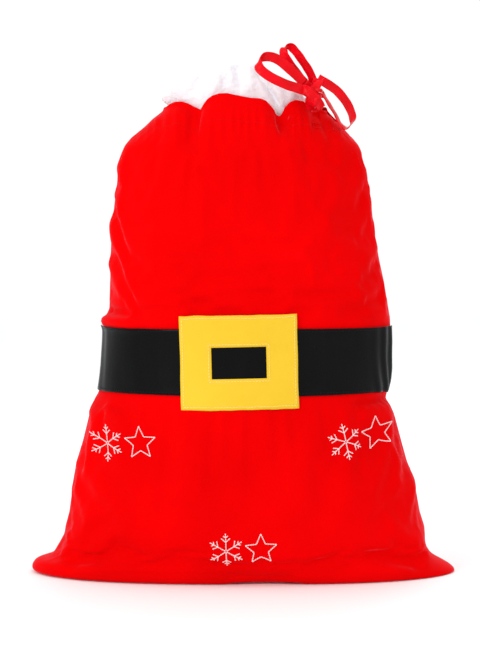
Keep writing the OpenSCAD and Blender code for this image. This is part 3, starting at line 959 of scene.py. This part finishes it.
def buckle_place(px, pz, off):
    """A point of the buckle's own plane, laid on the front of the sack."""
    px, pz = np.asarray(px, float), np.asarray(pz, float)
    c, s = math.cos(BUCKLE_TILT), math.sin(BUCKLE_TILT)
    x = BUCKLE_X + px * c - pz * s
    z = BELT_Z + px * s + pz * c
    placed = on_front(x, z, off)
    calm = on_front(x, np.full_like(z, BELT_Z), off)
    placed[..., 1] = placed[..., 1] * 0.35 + calm[..., 1] * 0.65
    return placed


def rect_ring(half_w, half_h, steps):
    """Points round a rectangle, the same number on each side."""
    ring = []
    corners = [(-1, -1), (1, -1), (1, 1), (-1, 1)]
    for (ax, az), (bx, bz) in zip(corners, corners[1:] + corners[:1]):
        for k in range(steps):
            t = k / steps
            ring.append(((ax + (bx - ax) * t) * half_w, (az + (bz - az) * t) * half_h))
    return np.array(ring)


def buckle_frame():
    steps, layers = 40, 14
    outer = rect_ring(BUCKLE[0] / 2, BUCKLE[1] / 2, steps)
    inner = rect_ring(HOLE[0] / 2, HOLE[1] / 2, steps)
    rings = []
    for t in np.linspace(0, 1, layers):
        rings.append(outer * (1 - t) + inner * t)
    rings = np.array(rings)
    # hand-cut edges wander a little
    rings[0, :, 1] += 0.0002 * np.sin(rings[0, :, 0] * 90)
    rings[0, :, 0] += 0.0002 * np.sin(rings[0, :, 1] * 110 + 1)
    return buckle_place(rings[..., 0], rings[..., 1], BUCKLE_OFF)


ring_points = buckle_frame()
layers, around = ring_points.shape[:2]
buckle_faces = []
for i in range(layers - 1):
    for j in range(around):
        a, b = i * around + j, i * around + (j + 1) % around
        buckle_faces.append((a, b, b + around, a + around))
buckle = add_mesh("buckle_felt", ring_points.reshape(-1, 3), buckle_faces, FELT)
thicken(buckle, BUCKLE_T, 1.0)
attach(buckle, "sack")
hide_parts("buckle")

for name, half in (("buckle_outer_stitching", (BUCKLE[0] / 2 - EDGE_MARGIN, BUCKLE[1] / 2 - EDGE_MARGIN)),
                   ("buckle_inner_stitching", (HOLE[0] / 2 + EDGE_MARGIN, HOLE[1] / 2 + EDGE_MARGIN))):
    ring = rect_ring(*half, 30)
    ring = np.concatenate([ring, ring[:1]])
    line = buckle_place(ring[:, 0], ring[:, 1], BUCKLE_OFF + BUCKLE_T + THREAD_LIFT)
    thread_piece(name, stitches_along(line, *BUCKLE_STITCH), YELLOW_THREAD)

# ---------------- embroidered motifs

MOTIF_H = 0.040
MOTIFS = {"left_embroidery": (-0.137, 0.158, 4), "right_embroidery": (0.128, 0.164, 12),
          "bottom_embroidery": (-0.003, 0.044, 2)}


def turned(p, degrees):
    a = math.radians(degrees)
    return (p[0] * math.cos(a) - p[1] * math.sin(a), p[0] * math.sin(a) + p[1] * math.cos(a))


def snowflake_lines(r):
    lines = []
    for k in range(6):
        arm = turned((0, 1), 60 * k)
        lines.append([(arm[0] * r * 0.04, arm[1] * r * 0.04), (arm[0] * r, arm[1] * r)])
        for side in (-1, 1):
            twig = turned(arm, 50 * side)
            for share, size in ((0.5, 0.32), (0.74, 0.18)):
                root = (arm[0] * r * share, arm[1] * r * share)
                lines.append([root, (root[0] + twig[0] * r * size, root[1] + twig[1] * r * size)])
    return lines


def star_lines(r):
    corners = [turned((0, r * (1 if k % 2 == 0 else 0.45)), 36 * k) for k in range(11)]
    return [[a, b] for a, b in zip(corners, corners[1:])]


for name, (mx, mz, tilt) in MOTIFS.items():
    parts = []
    groups = ((-MOTIF_H * 0.45, snowflake_lines(MOTIF_H / 2)), (MOTIF_H * 0.5, star_lines(MOTIF_H * 0.45)))
    for shift, lines in groups:
        for a, b in lines:
            ts = np.linspace(0, 1, 8)
            px = shift + a[0] + (b[0] - a[0]) * ts
            pz = a[1] + (b[1] - a[1]) * ts
            tx, tz = turned((px, pz), tilt)
            line = on_front(mx + tx, mz + tz, 0.0002)
            parts += stitches_along(line, *MOTIF_STITCH)
    thread_piece(name, parts, PALE_THREAD)

# ---------------- plush collar

# Height of the collar's edge, in mm above the base, at x in mm
COLLAR_EDGE = [
    (-98, 541), (-94, 545), (-90, 549), (-84, 553), (-70, 560), (-53, 569), (-46, 575), (-30, 578),
    (-12, 580), (8, 580), (20, 577), (33, 571), (48, 560), (60, 550), (72, 543), (84, 537), (96, 533)]
# The collar's wall: share of its height, then its half width and half depth in mm
COLLAR_WALL = [(0, 78, 31), (0.3, 79, 31), (0.5, 80, 31), (0.7, 83, 32), (0.85, 86, 33), (1, 88, 34)]
PLUSH_T = 0.005


def collar_grid(side):
    cols, rows = 241, 46
    u = np.linspace(-1, 1, cols)[None, :]
    t = np.linspace(0, 1, rows)[:, None]
    wall = np.array(COLLAR_WALL)
    half = np.interp(t, wall[:, 0], wall[:, 1])
    deep = np.interp(t, wall[:, 0], wall[:, 2])
    lean = -8 * t
    sin_u, cos_u = np.sin(u * math.pi / 2), np.cos(u * math.pi / 2)
    # pleats fan out of the gathers, and end soft at the free edge
    phase = 4.6 * u + 0.5 * np.sin(u * 2.3 + side)
    pleat = np.sin(phase * 3.3 + 0.5 * np.sin(t * 3)) + 0.45 * np.sin(phase * 8.1 + 1.7)
    grow = 1.0 + 2.6 * smoothstep(t * 1.3)
    inside_rim = 1 - 0.75 * np.exp(-((t - 0.35) / 0.25) ** 2)
    push = pleat * grow * inside_rim * 0.75 * np.clip(cos_u * 3, 0, 1)
    x = lean + (half + push * 0.5) * sin_u
    y = 0.4 + (deep + push) * cos_u
    top_x = lean[-1, 0] + wall[-1, 1] * sin_u
    top = np.interp(top_x, [p[0] for p in COLLAR_EDGE], [p[1] for p in COLLAR_EDGE])
    top = top + 0.9 * np.sin(phase * 3.3 + 0.6) * np.clip(cos_u * 3, 0, 1) - (1.5 if side > 0 else 0)
    foot = COLLAR_FOOT / MM
    z = foot + t * (top - foot)
    if side < 0:
        # the long fold that runs down into the deepest notch, and the softer one left of it
        for ax, az, bx, bz, width, height in ((14, 572, 41, 529, 3.4, -5.5), (22, 572, 48, 532, 6, 2.4),
                                              (-8, 577, -4, 548, 4.5, -2.6), (0, 577, 4, 550, 6, 1.6),
                                              (-52, 566, -58, 545, 5, -2.2), (-30, 574, -34, 552, 7, 1.8)):
            y = y + fold_height(x, z, ax, az, bx, bz, width, height)
    return np.stack([x + 0 * y, side * y, z + 0 * x], -1) * MM


def collar_piece(name, side):
    grid = collar_grid(side)
    normals = grid_normals(grid)
    tufts = np.array([[lump(p, 0.0042, 5.5) * 0.55 + lump(p, 0.012, 2.1) * 0.9 for p in row]
                      for row in grid])
    grid = grid + normals * (tufts * MM)[..., None]
    grid[..., 1] = side * np.maximum(side * grid[..., 1], COLLAR_GAP)
    rows, cols = grid.shape[:2]
    obj = add_mesh(name + "_plush", grid.reshape(-1, 3), grid_faces(rows, cols, flip=side > 0), PLUSH)
    thicken(obj, PLUSH_T, -1.0)
    for v in obj.data.vertices:
        v.co.y = side * max(side * v.co.y, COLLAR_GAP)
    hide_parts(name)
    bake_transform(obj)


collar_piece("collar_front", -1)
collar_piece("collar_back", 1)

# ---------------- casing, its ribbon, and the inner seams

TAPE_IN = VELVET_T + 0.0074
RIBBON_IN = VELVET_T + 0.0060
TAPE_T = 0.0005
for place, side in (("front", -1), ("back", 1)):
    tape_z = np.linspace(CLOTH_H - 0.026, CLOTH_H - 0.006, 12)[:, None]
    tape_u = np.linspace(-0.95, 0.95, 140)[None, :]
    tape_points = lining(side, tape_u, tape_z, TAPE_IN)
    tape = cloth_strip("casing_tape_" + place, tape_points, TAPE_T, TAPE)
    band_z = np.linspace(CLOTH_H - 0.021, CLOTH_H - 0.011, 7)[:, None]
    band_points = lining(side, tape_u * 0.985, band_z, RIBBON_IN)
    band = cloth_strip("ribbon_in_casing_" + place, band_points, RIBBON_T, SATIN)
    line = skin(side, np.linspace(-0.95, 0.95, 300), CLOTH_H - 0.0245, 0.0)
    stitches = stitches_along(line, *CASING_STITCH)
    thread_piece("casing_stitching_" + place, stitches, RED_THREAD)

exit_ring = rect_ring(0.0045, 0.0035, 8)
exit_ring = np.concatenate([exit_ring, exit_ring[:1]])
exit_line = on_front(EXIT.x + exit_ring[:, 0], EXIT.z - 0.005 + exit_ring[:, 1], 0.0004)
thread_piece("ribbon_exit_stitching", stitches_along(exit_line, *EXIT_STITCH), RED_THREAD)


def overlock(points, radius, swing, pitch):
    """A seam edge bound by a thread that zigzags round it."""
    points = smooth_path(points, 4)
    length = path_length(points)
    turns = int(length / pitch)
    steps = np.cumsum([0] + [(b - a).length for a, b in zip(points, points[1:])])
    line = []
    for k in range(turns * 6 + 1):
        t = k / (turns * 6) * length
        p = Vector([np.interp(t, steps, [q[c] for q in points]) for c in range(3)])
        a = 2 * math.pi * k / 6
        line.append(p + Vector((swing * math.cos(a), swing * math.sin(a), 0)))
    return [tube(line, radius, 5), tube(points, swing * 0.8, 6)]


# Thread radius, swing and pitch of the overlocking, how far the side seams lie inside the outline, and the
# height of the bottom seam
OVERLOCK = (0.0004, 0.0009, 0.0045)
SEAM_INSET = 0.008
BOTTOM_SEAM_Z = 0.0045
for name, side in (("left_side_seam", -1), ("right_side_seam", 1)):
    heights = range(6, 94, 4)
    column = 1 if side < 0 else 2
    route = [(side * (profile(column, s) * BODY_HALF_W - SEAM_INSET), 0, s / 100 * CLOTH_H)
             for s in heights]
    thread_piece(name, overlock(route, *OVERLOCK), RED_THREAD)
bottom_route = [(x / 1000, 0, BOTTOM_SEAM_Z) for x in range(-180, 181, 30)]
thread_piece("bottom_seam", overlock(bottom_route, *OVERLOCK), RED_THREAD)

# ---------------- floor

FLOOR_REACH = 6
floor_corners = [(x * FLOOR_REACH, y * FLOOR_REACH, 0) for x, y in ((-1, -1), (1, -1), (1, 1), (-1, 1))]
floor = add_mesh("floor", floor_corners, [(0, 1, 2, 3)], floor_material())
